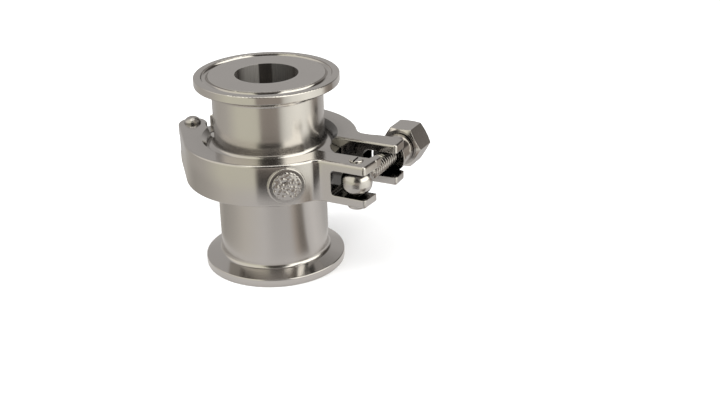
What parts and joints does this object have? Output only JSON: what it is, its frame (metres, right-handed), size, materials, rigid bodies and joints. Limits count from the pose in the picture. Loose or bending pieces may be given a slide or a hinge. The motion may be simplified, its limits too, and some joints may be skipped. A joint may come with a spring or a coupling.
{
  "type": "in-line check valve",
  "caption": "Hygienic in-line check valve: two-part ferrule-ended steel body held by a hinged clamp with swing bolt and hex nut, spring-loaded plug inside.",
  "frame": {"origin": "valve axis at the outer face of the inlet ferrule", "axes": "+Z along the valve axis in the direction of flow, +X from the clamp's hinge towards its swing bolt, -Y towards the clamp's front half"},
  "size_m": [0.0853, 0.0629, 0.0702],
  "materials": {
    "turned_steel": "satin, fine turning marks",
    "cast_steel": "satin polished investment casting",
    "fastener_steel": "bright machined",
    "spring_steel": "bright drawn",
    "gasket_rubber": "matte",
    "seal_rubber": "matte",
    "bush_polymer": "matte"
  },
  "bodies": {
    "valve": {"lower_body": "turned_steel", "upper_body": "turned_steel", "body_gasket": "gasket_rubber", "seat_ring": "turned_steel", "seat_ring_seal": "seal_rubber", "guide_cage": "turned_steel", "guide_bush": "bush_polymer", "return_spring": "spring_steel", "clamp_rear_half": "cast_steel", "hinge_pin": "fastener_steel", "hinge_pin_ring": "spring_steel"},
    "front_clamp": {"clamp_front_half": "cast_steel", "swing_bolt_pin": "fastener_steel"},
    "swing_bolt": {"swing_bolt": "fastener_steel"},
    "collar": {"saddle_collar": "fastener_steel"},
    "nut": {"clamp_nut": "fastener_steel"},
    "plug": {"valve_plug": "turned_steel", "plug_seal": "seal_rubber", "nose_cap": "turned_steel", "plug_stem": "turned_steel", "stem_clip": "spring_steel", "spring_seat": "spring_steel"}
  },
  "joints": [
    {"name": "plug_lift", "type": "slide", "parent": "valve", "child": "plug", "axis": [0, 0, 1], "range_m": [0, 0.006], "stiffness_N_per_m": 250, "springref_m": -0.006, "deforming": ["return_spring"]},
    {"name": "clamp_open", "type": "hinge", "parent": "valve", "child": "front_clamp", "pos_m": [-0.0316, -0.0006, 0.0405], "axis": [0, 0, -1], "range_deg": [0, 3.75]},
    {"name": "bolt_swing", "type": "hinge", "parent": "front_clamp", "child": "swing_bolt", "pos_m": [0.0389, -0.011, 0.0405], "axis": [0, 0, -1], "range_deg": [0, 150]},
    {"name": "nut_travel", "type": "slide", "parent": "swing_bolt", "child": "collar", "axis": [0.0384, 0.9993, 0], "range_m": [0, 0.00576]},
    {"name": "nut_spin", "type": "hinge", "parent": "collar", "child": "nut", "pos_m": [0.04036, 0.02697, 0.0405], "axis": [0.0384, 0.9993, 0], "range_deg": [0, 1440]}
  ],
  "couplings": [
    {"joint": "nut_travel", "follows": "nut_spin", "m_per_rad": 0.00022918},
    {"joint": "clamp_open", "follows": "nut_spin", "ratio": 0.0025751}
  ]
}
